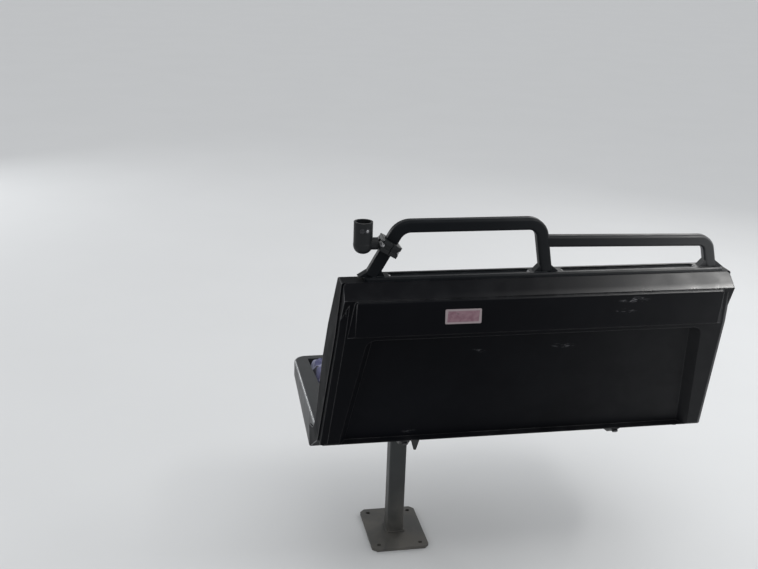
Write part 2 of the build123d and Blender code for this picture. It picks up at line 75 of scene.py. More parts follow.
def area_light(name, place, target, size, power, colour):
    data = bpy.data.lights.new(name, "AREA")
    data.shape, data.size, data.size_y = "RECTANGLE", *size
    data.energy, data.color = power, colour
    lamp = bpy.data.objects.new(name, data)
    bpy.context.collection.objects.link(lamp)
    lamp.location = place
    lamp.rotation_euler = (Vector(target) - Vector(place)).to_track_quat("-Z", "Y").to_euler()
    lamp.visible_camera = False


SEAT_MIDDLE, SEAT_FRONT, BACK_TOP = (0.2, -0.2, 0.6), (-0.2, 0.0, 0.45), (0.5, -0.4, 0.82)
WARM = (1.0, 0.99, 0.97)
area_light("window_side", (3.0, 0.2, 1.7), SEAT_MIDDLE, (2.6, 1.4), 17, (0.95, 0.98, 1.0))
area_light("window_front", (2.5, 2.5, 1.9), SEAT_MIDDLE, (2.2, 1.2), 17, WARM)
area_light("window_front_aisle", (-2.3, 4.1, 1.3), SEAT_FRONT, (1.2, 0.9), 17, (0.97, 0.99, 1.0))
area_light("ceiling", (0.2, -1.0, 3.0), SEAT_MIDDLE, (2.6, 1.6), 11, WARM)
area_light("ceiling_lamp", (1.75, -1.25, 2.85), BACK_TOP, (1.3, 0.3), 16, WARM)
area_light("aisle_fill", (-2.6, -2.2, 1.6), SEAT_MIDDLE, (1.8, 1.4), 3.5, (0.96, 0.98, 1.0))


# ---------------------------------------------------------------- shader helpers
def fill(tree, node, values):
    """Sets a node's inputs. A value is a number, or a socket that is linked."""
    for key, value in values.items():
        if isinstance(value, bpy.types.NodeSocket):
            tree.links.new(value, node.inputs[key])
        else:
            node.inputs[key].default_value = value


def add(tree, kind, values=None, **settings):
    """Adds a shader node with its inputs and settings."""
    new = tree.nodes.new("ShaderNode" + kind)
    for key, value in settings.items():
        setattr(new, key, value)
    fill(tree, new, values or {})
    return new


def maths(tree, operation, a, b=0.5, clamp=False):
    return add(tree, "Math", {0: a, 1: b}, operation=operation, use_clamp=clamp).outputs[0]


def times(tree, a, b, clamp=False):
    return maths(tree, "MULTIPLY", a, b, clamp)


def vector_maths(tree, operation, a, b):
    return add(tree, "VectorMath", {0: a, 1: b}, operation=operation).outputs[0]


def split(tree, vector):
    """A vector's three parts, by their names."""
    return add(tree, "SeparateXYZ", {0: vector}).outputs


def ramp(tree, value, low, high, to_low=0.0, to_high=1.0):
    """Rescales a value between two limits, smoothly and clamped."""
    return add(tree, "MapRange", {"Value": value, "From Min": low, "From Max": high, "To Min": to_low,
                                  "To Max": to_high}, interpolation_type="SMOOTHSTEP").outputs["Result"]


def mix(tree, share, a, b):
    """Mixes two colours, given as sockets or as three numbers."""
    a, b = [c if isinstance(c, bpy.types.NodeSocket) else (*c, 1.0) for c in (a, b)]
    return add(tree, "Mix", {0: share, 6: a, 7: b}, data_type="RGBA").outputs[2]


def mottled(tree, share, colour, darker, paler):
    """Mixes a darker and a paler tone of a colour."""
    return mix(tree, share, [c * darker for c in colour], [c * paler for c in colour])


def speckle(tree, place, scale, detail=3.0, distort=0.0, stretch=None):
    """Noise at a scale per metre. Its place may be stretched, by a scale and a rotation."""
    if stretch:
        by, turned_by = stretch
        place = add(tree, "Mapping", {"Vector": place, "Scale": by, "Rotation": turned_by}).outputs[0]
    return add(tree, "TexNoise", {"Vector": place, "Scale": scale, "Detail": detail, "Roughness": 0.55,
                                  "Distortion": distort}).outputs[0]


def bumped(tree, height, strength, distance, **under):
    """The normal of a surface with a height on it, over another normal where one is given."""
    values = {"Height": height, "Strength": strength, "Distance": distance, **under}
    return add(tree, "Bump", values).outputs[0]


def new_material(name, colour, roughness):
    """A material with its shader and its place on the object, as a socket."""
    material = bpy.data.materials.new(name)
    material.use_nodes = True
    material.diffuse_color = (*colour, 1.0)
    tree = material.node_tree
    shader = tree.nodes["Principled BSDF"]
    fill(tree, shader, {"Base Color": (*colour, 1.0), "Roughness": roughness})
    return material, tree, shader, add(tree, "TexCoord").outputs["Object"]


def near(tree, place, centre, reach):
    """One at a point, falling to nothing at its reach in metres."""
    gap = vector_maths(tree, "SUBTRACT", place, centre)
    scaled = vector_maths(tree, "MULTIPLY", gap, [1 / r for r in reach])
    far = add(tree, "VectorMath", {0: scaled}, operation="LENGTH").outputs["Value"]
    return ramp(tree, far, 0.35, 1.0, 1.0, 0.0)


def edges_of(tree, radius):
    """A softened normal for the edges, and how near a point is to one."""
    soft = add(tree, "Bevel", {"Radius": radius}, samples=6).outputs[0]
    plain = add(tree, "NewGeometry").outputs["Normal"]
    same = add(tree, "VectorMath", {0: soft, 1: plain}, operation="DOT_PRODUCT").outputs["Value"]
    return soft, ramp(tree, same, 0.985, 0.8)


class Look:
    """A surface's colour, roughness and shine, built up in masked layers."""

    def __init__(self, tree, tone, rough, shine):
        self.tree, self.tone, self.rough, self.shine = tree, tone, rough, shine

    def layer(self, mask, tint=None, share=1.0, rough=0.0, shine=0.0):
        """Where the mask is one, mixes in a share of a tint and adds to the roughness and to the shine."""
        if tint:
            self.tone = mix(self.tree, times(self.tree, mask, share), self.tone, tint)
        if rough:
            self.rough = maths(self.tree, "ADD", self.rough, times(self.tree, mask, rough), True)
        if shine:
            self.shine = maths(self.tree, "ADD", self.shine, times(self.tree, mask, shine), True)

    def finish(self, shader, normal, **constants):
        fill(self.tree, shader, {"Base Color": self.tone, "Roughness": self.rough,
                                 "Specular IOR Level": self.shine, "Normal": normal, **constants})


# ---------------------------------------------------------------- materials
WINDOW_WAY_FROM, WINDOW_WAY_TO = at(-380.0, 0.0, 0.0).x, at(420.0, 0.0, 0.0).x
# The rounded-edge grey, the corner grey and the outer-edge grey are paler tints that paint highlights; the
# scuff grey is wear
ROUND_HIGHLIGHT_GREY, SCUFF_GREY, CORNER_HIGHLIGHT_GREY = (0.165, 0.172, 0.182), (0.16, 0.16, 0.17), (0.17, 0.172, 0.18)
OUTER_EDGE_HIGHLIGHT, FLOOR_DUST, BARE_METAL = (0.075, 0.077, 0.083), (0.13, 0.12, 0.105), (0.19, 0.185, 0.18)


def scratches(tree, place, smear):
    """Fine scratches in two directions, in patches."""
    lines = speckle(tree, place, 1.0, 2.0, 0.2, ((14.0, 14.0, 900.0), (0.1, 0.35, 0.0)))
    cross = speckle(tree, place, 1.0, 2.0, 0.3, ((620.0, 20.0, 9.0), (0.0, 0.5, 0.2)))
    both = maths(tree, "MAXIMUM", ramp(tree, lines, 0.70, 0.76), ramp(tree, cross, 0.71, 0.78))
    return times(tree, both, ramp(tree, smear, 0.45, 0.7))


def moulded(name, colour, dust, roughness, grain=850.0, grain_depth=0.00010, soft=0.0022, polish=0.0,
            gloss=0.3, round_polish=0.0, window_shine=0.0, outer_shine=0.0, smooth_above=None, scuffs=(),
            corner_highlights=()):
    """Moulded plastic with a fine grain, dust on upward faces, rubbed edges and fine scratches.

    Above smooth_above, where it is given, its grain is finer and its slope is polished, most at the window
    side. Scuffs are rows of centre, reach and amount; corner highlights are rows of centre and reach, where
    the edges get a painted highlight.
    """
    material, tree, shader, place = new_material(name, colour, roughness)
    across, height = split(tree, place)["X"], split(tree, place)["Z"]
    rounded, edge = edges_of(tree, soft)
    up = split(tree, add(tree, "NewGeometry").outputs["Normal"])["Z"]
    window_way = add(tree, "MapRange", {"Value": across, "From Min": WINDOW_WAY_FROM,
                                        "From Max": WINDOW_WAY_TO}).outputs["Result"]
    smear = speckle(tree, place, 17.0, 6.0, 0.7)
    tone = mottled(tree, ramp(tree, speckle(tree, place, 4.0, 4.0), 0.35, 0.7), colour, 0.86, 1.16)
    look = Look(tree, tone, ramp(tree, smear, 0.25, 0.75, roughness - 0.05, roughness + 0.07), gloss)

    dusty = times(tree, ramp(tree, up, 0.35, 0.95), ramp(tree, smear, 0.36, 0.74, 0.05, 0.5))
    look.layer(dusty, dust)
    scratch = scratches(tree, place, smear)
    look.layer(scratch, [c * 3.2 + 0.015 for c in colour], share=0.35, rough=0.12)
    rubbed = times(tree, edge, ramp(tree, smear, 0.3, 0.62, 0.12, 0.6))
    look.layer(rubbed, [c * 2.2 + 0.012 for c in colour], rough=-0.16 - polish, shine=0.6)
    if round_polish:
        # Only rounded edges face neither up nor sideways. They get a paler tint, a painted highlight, and are
        # polished
        rounding = times(tree, ramp(tree, up, 0.08, 0.35), ramp(tree, up, 0.985, 0.90))
        look.layer(rounding, ROUND_HIGHLIGHT_GREY, share=0.5, rough=-round_polish, shine=0.65)
    for centre, reach, amount in scuffs:
        marks = speckle(tree, place, 1.0, 5.0, 0.8, ((70.0, 30.0, 260.0), (0.0, 0.15, 0.0)))
        patch = times(tree, near(tree, place, centre, reach), ramp(tree, marks, 0.52, 0.64))
        look.layer(patch, SCUFF_GREY, share=amount, rough=0.2)
    # Painted highlights at the given corners: the edges there get a paler tint and less roughness
    for centre, reach in corner_highlights:
        wear_and_glint = times(tree, near(tree, place, centre, reach), times(tree, edge, 1.6, True))
        look.layer(wear_and_glint, CORNER_HIGHLIGHT_GREY, share=0.8, rough=-0.15)
    if window_shine:
        look.layer(maths(tree, "POWER", window_way, 3.0), shine=window_shine)
    if outer_shine:
        # Edges that face away from the seat's middle are handled most, so they are smoother; their paler tint
        # is a painted highlight
        from_middle = maths(tree, "SUBTRACT", across, at(0.0, 0.0, 0.0).x)
        outward = ramp(tree, times(tree, split(tree, rounded)["X"], from_middle), 0.04, 0.16)
        look.layer(times(tree, outward, edge), OUTER_EDGE_HIGHLIGHT, share=0.5, rough=-0.2, shine=outer_shine)
    strength = 0.55
    if smooth_above:
        fine_zone = ramp(tree, height, smooth_above - 0.004, smooth_above + 0.004)
        strength = ramp(tree, fine_zone, 0.0, 1.0, 0.6, 0.2)
        sloping = times(tree, ramp(tree, up, 0.3, 0.5), ramp(tree, up, 0.985, 0.93))
        sloping = times(tree, sloping, fine_zone)
        foot = times(tree, sloping, ramp(tree, height, smooth_above + 0.018, smooth_above + 0.009))
        look.layer(times(tree, sloping, maths(tree, "POWER", window_way, 4.0)), shine=0.8)
        look.layer(sloping, rough=-0.18)
        look.layer(times(tree, foot, maths(tree, "POWER", window_way, 2.0)), rough=-0.12, shine=0.4)

    pits = add(tree, "TexVoronoi", {"Vector": place, "Scale": grain, "Randomness": 0.9},
               feature="SMOOTH_F1").outputs[0]
    fine = speckle(tree, place, grain * 0.55, 2.0)
    relief = maths(tree, "ADD", times(tree, pits, 0.7), times(tree, fine, 0.6))
    relief = maths(tree, "SUBTRACT", relief, times(tree, scratch, 0.5))
    grainy = bumped(tree, relief, strength, grain_depth, Normal=rounded)
    look.finish(shader, bumped(tree, speckle(tree, place, 6.0, 1.0), 0.35, 0.0016, Normal=grainy))
    return material


def coated(name, colour, roughness, floor_dust=0.0, soft=0.0015, chips=1.0, metallic=0.0, gloss=0.5):
    """Powder-coated steel: orange peel, chipped edges, and dust towards the floor."""
    material, tree, shader, place = new_material(name, colour, roughness)
    rounded, edge = edges_of(tree, soft)
    broad = speckle(tree, place, 9.0, 5.0, 0.5)
    tone = mottled(tree, ramp(tree, broad, 0.3, 0.7), colour, 0.85, 1.25)
    look = Look(tree, tone, ramp(tree, broad, 0.25, 0.75, roughness - 0.06, roughness + 0.09), gloss)
    low = times(tree, ramp(tree, split(tree, place)["Z"], 0.22, 0.0), ramp(tree, broad, 0.3, 0.7, 0.15, 0.75))
    look.layer(low, FLOOR_DUST, share=floor_dust, rough=0.25 * floor_dust)
    chip = times(tree, edge, ramp(tree, speckle(tree, place, 130.0, 5.0, 0.3), 0.56, 0.62, 0.0, chips))
    knocks = times(tree, ramp(tree, speckle(tree, place, 75.0, 4.0), 0.72, 0.75), 0.6 * chips)
    chip = maths(tree, "MAXIMUM", chip, knocks)
    look.layer(chip, BARE_METAL)
    relief = maths(tree, "SUBTRACT", times(tree, speckle(tree, place, 420.0, 1.0), 0.5), chip)
    look.finish(shader, bumped(tree, relief, 0.5, 0.00018, Normal=rounded), Metallic=metallic)
    return material


def moquette(name, upright):
    """Wool moquette with a generic pattern of curls: pale, violet and near-black ones on blue and lilac."""
    material, tree, shader, place = new_material(name, (0.062, 0.064, 0.125), 0.9)
    parts = split(tree, place)
    flat = add(tree, "CombineXYZ", {"X": parts["X"], "Y": parts["Z" if upright else "Y"]}).outputs[0]
    bend = add(tree, "TexNoise", {"Vector": flat, "Scale": 26.0, "Detail": 1.0}).outputs["Color"]
    warped = vector_maths(tree, "ADD", flat, vector_maths(tree, "MULTIPLY", bend, (0.022, 0.022, 0.0)))

    def curls(scale, offset, middle, width, gap):
        """Broken rings: a ring lies at the middle distance from a cell's centre, and gaps break it."""
        spot = vector_maths(tree, "ADD", warped, offset)
        cells = add(tree, "TexVoronoi", {"Vector": spot, "Scale": scale, "Randomness": 0.8})
        ring = maths(tree, "ABSOLUTE", maths(tree, "SUBTRACT", cells.outputs["Distance"], middle))
        broken = ramp(tree, speckle(tree, spot, scale * 1.1, 0.0), gap, gap + 0.05)
        return times(tree, ramp(tree, ring, width, width - 0.03), broken)

    patches = ramp(tree, speckle(tree, warped, 15.0, 2.0), 0.44, 0.50)
    tone = mix(tree, patches, (0.030, 0.033, 0.098), (0.108, 0.112, 0.225))
    pale = curls(19.0, (0.31, 0.17, 0.0), 0.36, 0.12, 0.44)
    violet = curls(24.0, (0.11, 0.43, 0.0), 0.22, 0.12, 0.48)
    dark = curls(17.0, (0.0, 0.0, 0.0), 0.27, 0.10, 0.40)
    tone = mix(tree, pale, tone, (0.30, 0.31, 0.43))
    tone = mix(tree, violet, tone, (0.042, 0.028, 0.115))
    tone = mix(tree, dark, tone, (0.008, 0.009, 0.020))
    # The weave: warp and weft ribs that also darken the gaps between threads
    warp, weft = [add(tree, "TexWave", {"Vector": flat, "Scale": 190.0, "Distortion": 0.6, "Detail": 1.0},
                      bands_direction=way).outputs[1] for way in "XY"]
    weave = times(tree, warp, weft)
    tone = mix(tree, ramp(tree, weave, 0.0, 0.5, 0.40, 0.0), tone, (0.010, 0.010, 0.018))
    wear_and_glint = ramp(tree, speckle(tree, flat, 7.0, 4.0), 0.42, 0.68, 0.0, 0.22)
    pile = speckle(tree, flat, 1500.0, 2.0)
    look = Look(tree, tone, ramp(tree, pile, 0.2, 0.8, 0.82, 0.98), 0.25)
    look.layer(wear_and_glint, (0.060, 0.060, 0.080))
    relief = maths(tree, "ADD", weave, times(tree, pile, 0.6))
    look.finish(shader, bumped(tree, relief, 0.6, 0.0005), **{"Sheen Weight": 0.12, "Sheen Roughness": 0.45})
    return material


# The sticker's middle in millimetres, and half its width and height inside its pale rim in metres
STICKER_X, STICKER_Z = -180.2, 767.5
STICKER_FIELD_X, STICKER_FIELD_Z = 0.0335, 0.0125


def worn_vinyl(name):
    """A faded blank sticker: a pale rim round a pinkish field, scuffed through in places."""
    material, tree, shader, place = new_material(name, (0.18, 0.10, 0.125), 0.5)
    middle, parts = at(STICKER_X, 0.0, STICKER_Z), split(tree, place)
    from_x, from_z = [maths(tree, "ABSOLUTE", maths(tree, "SUBTRACT", part, centre))
                      for part, centre in ((parts["X"], middle.x), (parts["Z"], middle.z))]
    rim = maths(tree, "MAXIMUM", ramp(tree, from_x, STICKER_FIELD_X, STICKER_FIELD_X + 0.0020),
                ramp(tree, from_z, STICKER_FIELD_Z, STICKER_FIELD_Z + 0.0015))
    blotch = speckle(tree, place, 90.0, 5.0, 0.6)
    gone = ramp(tree, speckle(tree, place, 160.0, 6.0, 0.4), 0.66, 0.71)
    tone = mix(tree, ramp(tree, blotch, 0.35, 0.65), (0.155, 0.072, 0.098), (0.215, 0.125, 0.150))
    look = Look(tree, tone, ramp(tree, blotch, 0.3, 0.7, 0.38, 0.6), 0.5)
    look.layer(rim, (0.27, 0.225, 0.235))
    look.layer(gone, (0.055, 0.045, 0.050))
    look.finish(shader, bumped(tree, speckle(tree, place, 240.0, 3.0), 0.3, 0.0002))
    return material


shell_scuffs = [
    (at(200.0, 2.0, 792.0), mm(40.0, 40.0, 9.0), 0.7),
    (at(186.0, 7.0, 765.0), mm(28.0, 40.0, 7.0), 0.6),
    (at(72.0, 62.0, 667.0), mm(34.0, 45.0, 8.0), 0.6),
    (at(-124.8, 64.9, 663.0), mm(20.0, 30.0, 8.0), 0.35),
    (at(-258.6, 128.5, 444.0), mm(20.0, 30.0, 9.0), 0.3),
]
# Corners where the shell's edges get a painted highlight
shell_corner_highlights = [
    (at(-435.0, 13.0, 815.0), mm(9.0, 18.0, 14.0)),
    (at(-408.5, 2.0, 800.0), mm(7.0, 10.0, 12.0)),
    (at(-438.0, 72.0, 830.0), mm(8.0, 22.0, 20.0)),
]
# Finishes by the material slots of the record
finishes = {
    "shell_black": moulded("shell_black", (0.0042, 0.0045, 0.0058), (0.016, 0.0165, 0.018), 0.54, soft=0.0032,
                           gloss=0.03, window_shine=0.20, outer_shine=0.85, smooth_above=0.803,
                           scuffs=shell_scuffs, corner_highlights=shell_corner_highlights),
    "rail_black": moulded("rail_black", (0.0056, 0.0067, 0.0082), (0.018, 0.020, 0.023), 0.42, grain=1400.0,
                          grain_depth=0.00004, soft=0.0015, polish=0.06, gloss=0.06, window_shine=1.1),
    "pan_grey": moulded("pan_grey", (0.0235, 0.025, 0.0268), (0.036, 0.038, 0.037), 0.40, grain=700.0,
                        gloss=0.22, round_polish=0.15),
    "seat_fabric": moquette("seat_fabric", False),
    "back_fabric": moquette("back_fabric", True),
    "fitting_black": coated("fitting_black", (0.0085, 0.0095, 0.0105), 0.44, chips=0.5, gloss=0.22),
    "frame_paint": coated("frame_paint", (0.016, 0.0175, 0.018), 0.45, chips=0.8),
    "leg_paint": coated("leg_paint", (0.020, 0.023, 0.0235), 0.46, floor_dust=1.0),
}
sticker_vinyl = worn_vinyl("sticker_vinyl")
thread = moulded("thread", (0.030, 0.034, 0.060), (0.04, 0.045, 0.07), 0.75, grain=2500.0, soft=0.0003)
screw_zinc = coated("screw_zinc", (0.36, 0.36, 0.37), 0.34, chips=0.15, soft=0.0003, metallic=0.9)
screw_black = coated("screw_black", (0.03, 0.031, 0.034), 0.36, chips=0.5, soft=0.0003, metallic=0.4)

# The CAD's own pieces get their finish in their material slots
for row in frame["record"]["subparts"]:
    body = nodes[row["node"]]
    if not body.material_slots:
        body.data.materials.append(None)
    for slot in body.material_slots:
        slot.material = finishes[row["material_slot"]]


# ---------------------------------------------------------------- stage
FLOOR_COLOUR, FLOOR_ROUGHNESS, FLOOR_SIZE = (0.62, 0.625, 0.63), 0.75, 40.0
# Strength of the sky at the horizon and overhead, and of the even tone that the camera and reflections see
SKY_LOW, SKY_HIGH, BACKDROP = 0.60, 0.95, 0.53
SKY_COLOUR = (0.97, 0.985, 1.0, 1.0)


def pale_floor(name):
    material, tree, shader, place = new_material(name, FLOOR_COLOUR, FLOOR_ROUGHNESS)
    grain = ramp(tree, speckle(tree, place, 2.0, 5.0), 0.3, 0.7)
    fill(tree, shader, {"Base Color": mottled(tree, grain, FLOOR_COLOUR, 0.985, 1.0)})
    return material


bpy.ops.mesh.primitive_plane_add(size=FLOOR_SIZE, location=(0, 0, 0))
floor = bpy.context.object
floor.name = "floor"
floor.data.materials.append(pale_floor("floor_pale"))

world = bpy.data.worlds.new("world")
bpy.context.scene.world = world
world.use_nodes = True
sky_tree = world.node_tree
overhead = split(sky_tree, add(sky_tree, "TexCoord").outputs["Generated"])["Z"]
sky = ramp(sky_tree, overhead, 0.0, 0.8, SKY_LOW, SKY_HIGH)
rays = add(sky_tree, "LightPath").outputs
reflected = maths(sky_tree, "MAXIMUM", rays["Is Glossy Ray"], rays["Is Transmission Ray"])
seen = maths(sky_tree, "MAXIMUM", rays["Is Camera Ray"], reflected)
fill(sky_tree, sky_tree.nodes["Background"], {
    "Color": SKY_COLOUR, "Strength": add(sky_tree, "Mix", {0: seen, 2: sky, 3: BACKDROP}).outputs[0]})
bpy.context.scene.view_settings.view_transform = "Standard"


# ---------------------------------------------------------------- mesh helpers
def shade_smooth(mesh):
    mesh.polygons.foreach_set("use_smooth", [True] * len(mesh.polygons))


def made(name, mesh, material, smooth=True):
    """Links a mesh as a piece that rides on the seat."""
    piece = bpy.data.objects.new(name, mesh)
    bpy.context.collection.objects.link(piece)
    mesh.materials.append(material)
    if smooth:
        shade_smooth(mesh)
    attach(piece, "root")
    return piece


def mesh_of(name, shape):
    """Turns a bmesh into a mesh and frees it."""
    mesh = bpy.data.meshes.new(name)
    shape.to_mesh(mesh)
    shape.free()
    return mesh


def rings_mesh(name, rings):
    """A closed mesh through rings of equally many points, its ends filled."""
    mesh = bpy.data.meshes.new(name)
    count, last = len(rings[0]), len(rings) - 1
    faces = [(r * count + i, r * count + (i + 1) % count,
              (r + 1) * count + (i + 1) % count, (r + 1) * count + i)
             for r in range(last) for i in range(count)]
    faces += [tuple(range(count))[::-1], tuple(last * count + i for i in range(count))]
    mesh.from_pydata([tuple(point) for ring in rings for point in ring], [], faces)
    return mesh


def band(shape, first, second, shift=0):
    """Joins two rings of a bmesh's vertices with faces. The second ring may start later."""
    count = len(first)
    for k in range(count):
        shape.faces.new((first[k], first[(k + 1) % count], second[(k + 1 + shift) % count],
                         second[(k + shift) % count]))


def caps(shape, rings):
    """Fills the two ends of a tube in a bmesh."""
    shape.faces.new(rings[0][::-1])
    shape.faces.new(rings[-1])


def in_pairs(items, closed):
    """Each item with the next one, and the last with the first where the row is closed."""
    return list(zip(items, items[1:] + items[:1] if closed else items[1:]))


def turned(name, profile, place, axis, material, steps=36):
    """A turned part along an axis. Profile rows are radius, place along the axis, and 1 for a hexagon."""
    spin = Vector(axis).to_track_quat("Z", "Y")
    half_side = math.pi / 6
    rings = []
    for radius, along, hexed in profile:
        ring = []
        for i in range(steps):
            angle = 2 * math.pi * i / steps
            reach = radius
            if hexed:
                reach = radius * math.cos(half_side) / math.cos(angle % (2 * half_side) - half_side)
            ring.append(place + spin @ Vector((reach * math.cos(angle), reach * math.sin(angle), along)))
        rings.append(ring)
    made(name, rings_mesh(name, rings), material)


def socket_screw(name, place, axis, radius, material):
    """A button-head screw with a hexagonal socket."""
    r = radius
    profile = [(r * 0.98, -0.0004, 0), (r, 0.0002, 0), (r * 0.97, r * 0.22, 0), (r * 0.86, r * 0.40, 0),
               (r * 0.68, r * 0.52, 0), (r * 0.50, r * 0.56, 1), (r * 0.46, r * 0.55, 1),
               (r * 0.45, r * 0.18, 1), (r * 0.10, r * 0.14, 0)]
    turned(name, profile, place, axis, material)


def hex_bolt(name, place, axis, flats, material):
    """A hexagon bolt head, given its width across flats, on its washer."""
    r, washer = flats / math.sqrt(3), 0.0020
    profile = [(r * 1.18, -0.0003, 0), (r * 1.20, 0.0004, 0), (r * 1.20, 0.0013, 0), (r * 1.17, 0.0018, 0),
               (r * 0.99, 0.0018, 0), (r * 0.97, washer, 1), (r, 0.0026, 1), (r, washer + r * 0.56, 1),
               (r * 0.90, washer + r * 0.68, 0), (r * 0.84, washer + r * 0.70, 0),
               (r * 0.74, washer + r * 0.66, 0), (r * 0.1, washer + r * 0.66, 0)]
    turned(name, profile, place, axis, material)


def on_surface(node, start, way):
    """The point and normal where a ray meets a CAD piece."""
    body = nodes[node]
    inverse = body.matrix_world.inverted()
    hit, point, normal, _ = body.ray_cast(inverse @ start, inverse.to_3x3() @ Vector(way).normalized())
    if not hit:
        raise RuntimeError(f"nothing of {node} lies there")
    return body.matrix_world @ point, (body.matrix_world.to_3x3() @ normal).normalized()


def fasten(head, name, node, start, way, size, material=screw_zinc):
    """Sets a socket_screw or hex_bolt where a ray meets a CAD piece."""
    spot, out = on_surface(node, start, way)
    head(name, spot, out, size, material)


WELD_SIDES, WELD_STEP = 8, 0.0011


def weld(shape, path, radius, closed=False):
    """Adds a weld bead with overlapping ripples along a path of points to a bmesh."""
    points = []
    for a, b in in_pairs(path, closed):
        steps = max(2, int((b - a).length / WELD_STEP))
        points += [(a.lerp(b, i / steps), (b - a).normalized()) for i in range(steps)]
    if not closed:
        points.append((path[-1], (path[-1] - path[-2]).normalized()))
    rings = []
    for i, (spot, way) in enumerate(points):
        side = way.orthogonal().normalized()
        other = way.cross(side)
        ripple = 1 + 0.14 * math.sin(i * 2 * math.pi / 4) + 0.16 * noise.noise(spot * 160)
        taper = 1.0 if closed else min(1.0, 0.3 + min(i, len(points) - 1 - i) / 4)
        angles = [2 * math.pi * t / WELD_SIDES for t in range(WELD_SIDES)]
        rings.append([shape.verts.new(spot + (side * math.cos(angle) + other * math.sin(angle))
                                      * radius * ripple * taper) for angle in angles])
    for first, second in in_pairs(rings, closed):
        # The side vectors may jump at a corner, so the nearest start is matched
        gaps = [(vertex.co - first[0].co).length for vertex in second]
        band(shape, first, second, gaps.index(min(gaps)))
    if not closed:
        caps(shape, rings)


def rounded_outline(corners, radius, steps):
    """The outline through some corners, each of them rounded in steps."""
    outline = []
    for i, corner in enumerate(corners):
        here = Vector(corner)
        before, after = [(Vector(corners[(i + k) % len(corners)]) - here).normalized() for k in (-1, 1)]
        for step in range(steps + 1):
            share = step / steps
            way = (after * (1 - share) + before * share).normalized()
            outline.append(here + (before + after) * radius - way * radius)
    return outline


# ---------------------------------------------------------------- pads
PAN_FLOOR, SEAT_THICK, BACK_THICK = 406.0, 33.0, 28.0
PAD_CORNER_R, PAD_SIDE_R, PAD_VOXEL = 24.0, 13.0, 0.005
# A pad is held below this height in millimetres while it is puffed, and moves no further than this in metres
PAD_HELD, PAD_PUFF, SIM_FRAMES = 9.0, 0.009, 20
# Seams lie this far inside the outline. Their groove and the dip round it have a depth and a width
SEAM_INSET, SEAM_GROOVE, SEAM_DIP = 34.0, (2.6, 3.4), (1.2, 11.0)
CREASE_SIZE, CREASE_DEPTH, CREASE_REACH = 24.0, 0.9, 22.0
SWAY_SIZE, SWAY_DEPTH = 95.0, 1.6
STITCH_PITCH, STITCH_R, STITCH_SPAN = 7.0, 0.00055, (0.18, 0.82)
STITCH_ANGLES = (0.0, math.pi / 3, 2 * math.pi / 3, math.pi, 4.4, 5.1)

# The plate that the back pads lie on, in depth and height
plate_foot, plate_head = Vector((160.0, 432.0)), Vector((66.0, 822.0))
plate_rise = (plate_head - plate_foot).normalized()
plate_out = Vector((plate_rise.y, -plate_rise.x))


def seated(across, depth, up):
    """A point on the pan: across, depth, and up from it."""
    return at(across, depth, PAN_FLOOR + up)


def leaning(across, along, out):
    """A point on the back's plate: across, up along the plate, and out from it."""
    spot = plate_foot + plate_rise * along + plate_out * out
    return at(across, spot.x, spot.y)


def middle_of(corners):
    return sum((Vector(c) for c in corners), Vector((0, 0))) / len(corners)


def slab(name, corners, place, thick):
    """A pad's starting form: a rounded slab with soft edges."""
    middle, outline = middle_of(corners), rounded_outline(corners, PAD_CORNER_R, 8)
    shoulder = thick - PAD_SIDE_R
    rows = [(0.0, 2.0), (3.0, 0.0), (shoulder, 0.0)]
    rows += [(shoulder + PAD_SIDE_R * math.sin(t * math.pi / 8), PAD_SIDE_R * (1 - math.cos(t * math.pi / 8)))
             for t in range(1, 5)]
    rings = []
    for up, inset in rows:
        ring = []
        for point in outline:
            out = point - middle
            ring.append(place(*(middle + out * (1 - inset / out.length)), up))
        rings.append(ring)
    return rings_mesh(name, rings)


def apply_modifier(piece, name, kind, **settings):
    """Adds a modifier with its settings and applies it."""
    bpy.context.view_layer.objects.active = piece
    modifier = piece.modifiers.new(name, kind)
    for key, value in settings.items():
        setattr(modifier, key, value)
    bpy.ops.object.modifier_apply(modifier=modifier.name)


def inflate(piece, hold, cap):
    """Cloth under pressure puffs the pad. Its underside is held, and no point moves further than the cap."""
    start = [v.co.copy() for v in piece.data.vertices]
    group = piece.vertex_groups.new(name="held")
    group.add([v.index for v in piece.data.vertices if hold(v.co)], 1.0, "REPLACE")
    cloth = piece.modifiers.new("cloth", "CLOTH")
    settings = cloth.settings
    settings.quality = 5
    settings.mass = 0.25
    settings.tension_stiffness = settings.compression_stiffness = 20.0
    settings.shear_stiffness = 8.0
    settings.bending_stiffness = 2.0
    settings.use_pressure = True
    settings.uniform_pressure_force = 4.0
    settings.vertex_group_mass = "held"
    settings.effector_weights.gravity = 0.0
    cloth.collision_settings.use_collision = False
    scene = bpy.context.scene
    for moment in range(1, SIM_FRAMES + 1):
        scene.frame_set(moment)
    puffed = piece.evaluated_get(bpy.context.evaluated_depsgraph_get()).data
    moved = [v.co.copy() for v in puffed.vertices]
    piece.modifiers.remove(cloth)
    for vertex, old, new in zip(piece.data.vertices, start, moved):
        step = new - old
        vertex.co = old + (step if step.length <= cap else step * (cap / step.length))
    scene.frame_set(1)


def border_lines(corners, inset):
    """The four sides of a seam that runs round inside the outline."""
    middle = middle_of(corners)
    inner = [Vector((x - math.copysign(inset, x - middle.x), y - math.copysign(inset, y - middle.y)))
             for x, y in (Vector(corner) for corner in corners)]
    return in_pairs(inner, True)


def segment_gap(point, a, b):
    """How far a point is from a line's piece."""
    way = b - a
    share = max(0.0, min(1.0, (point - a).dot(way) / way.length_squared))
    return (point - a - way * share).length


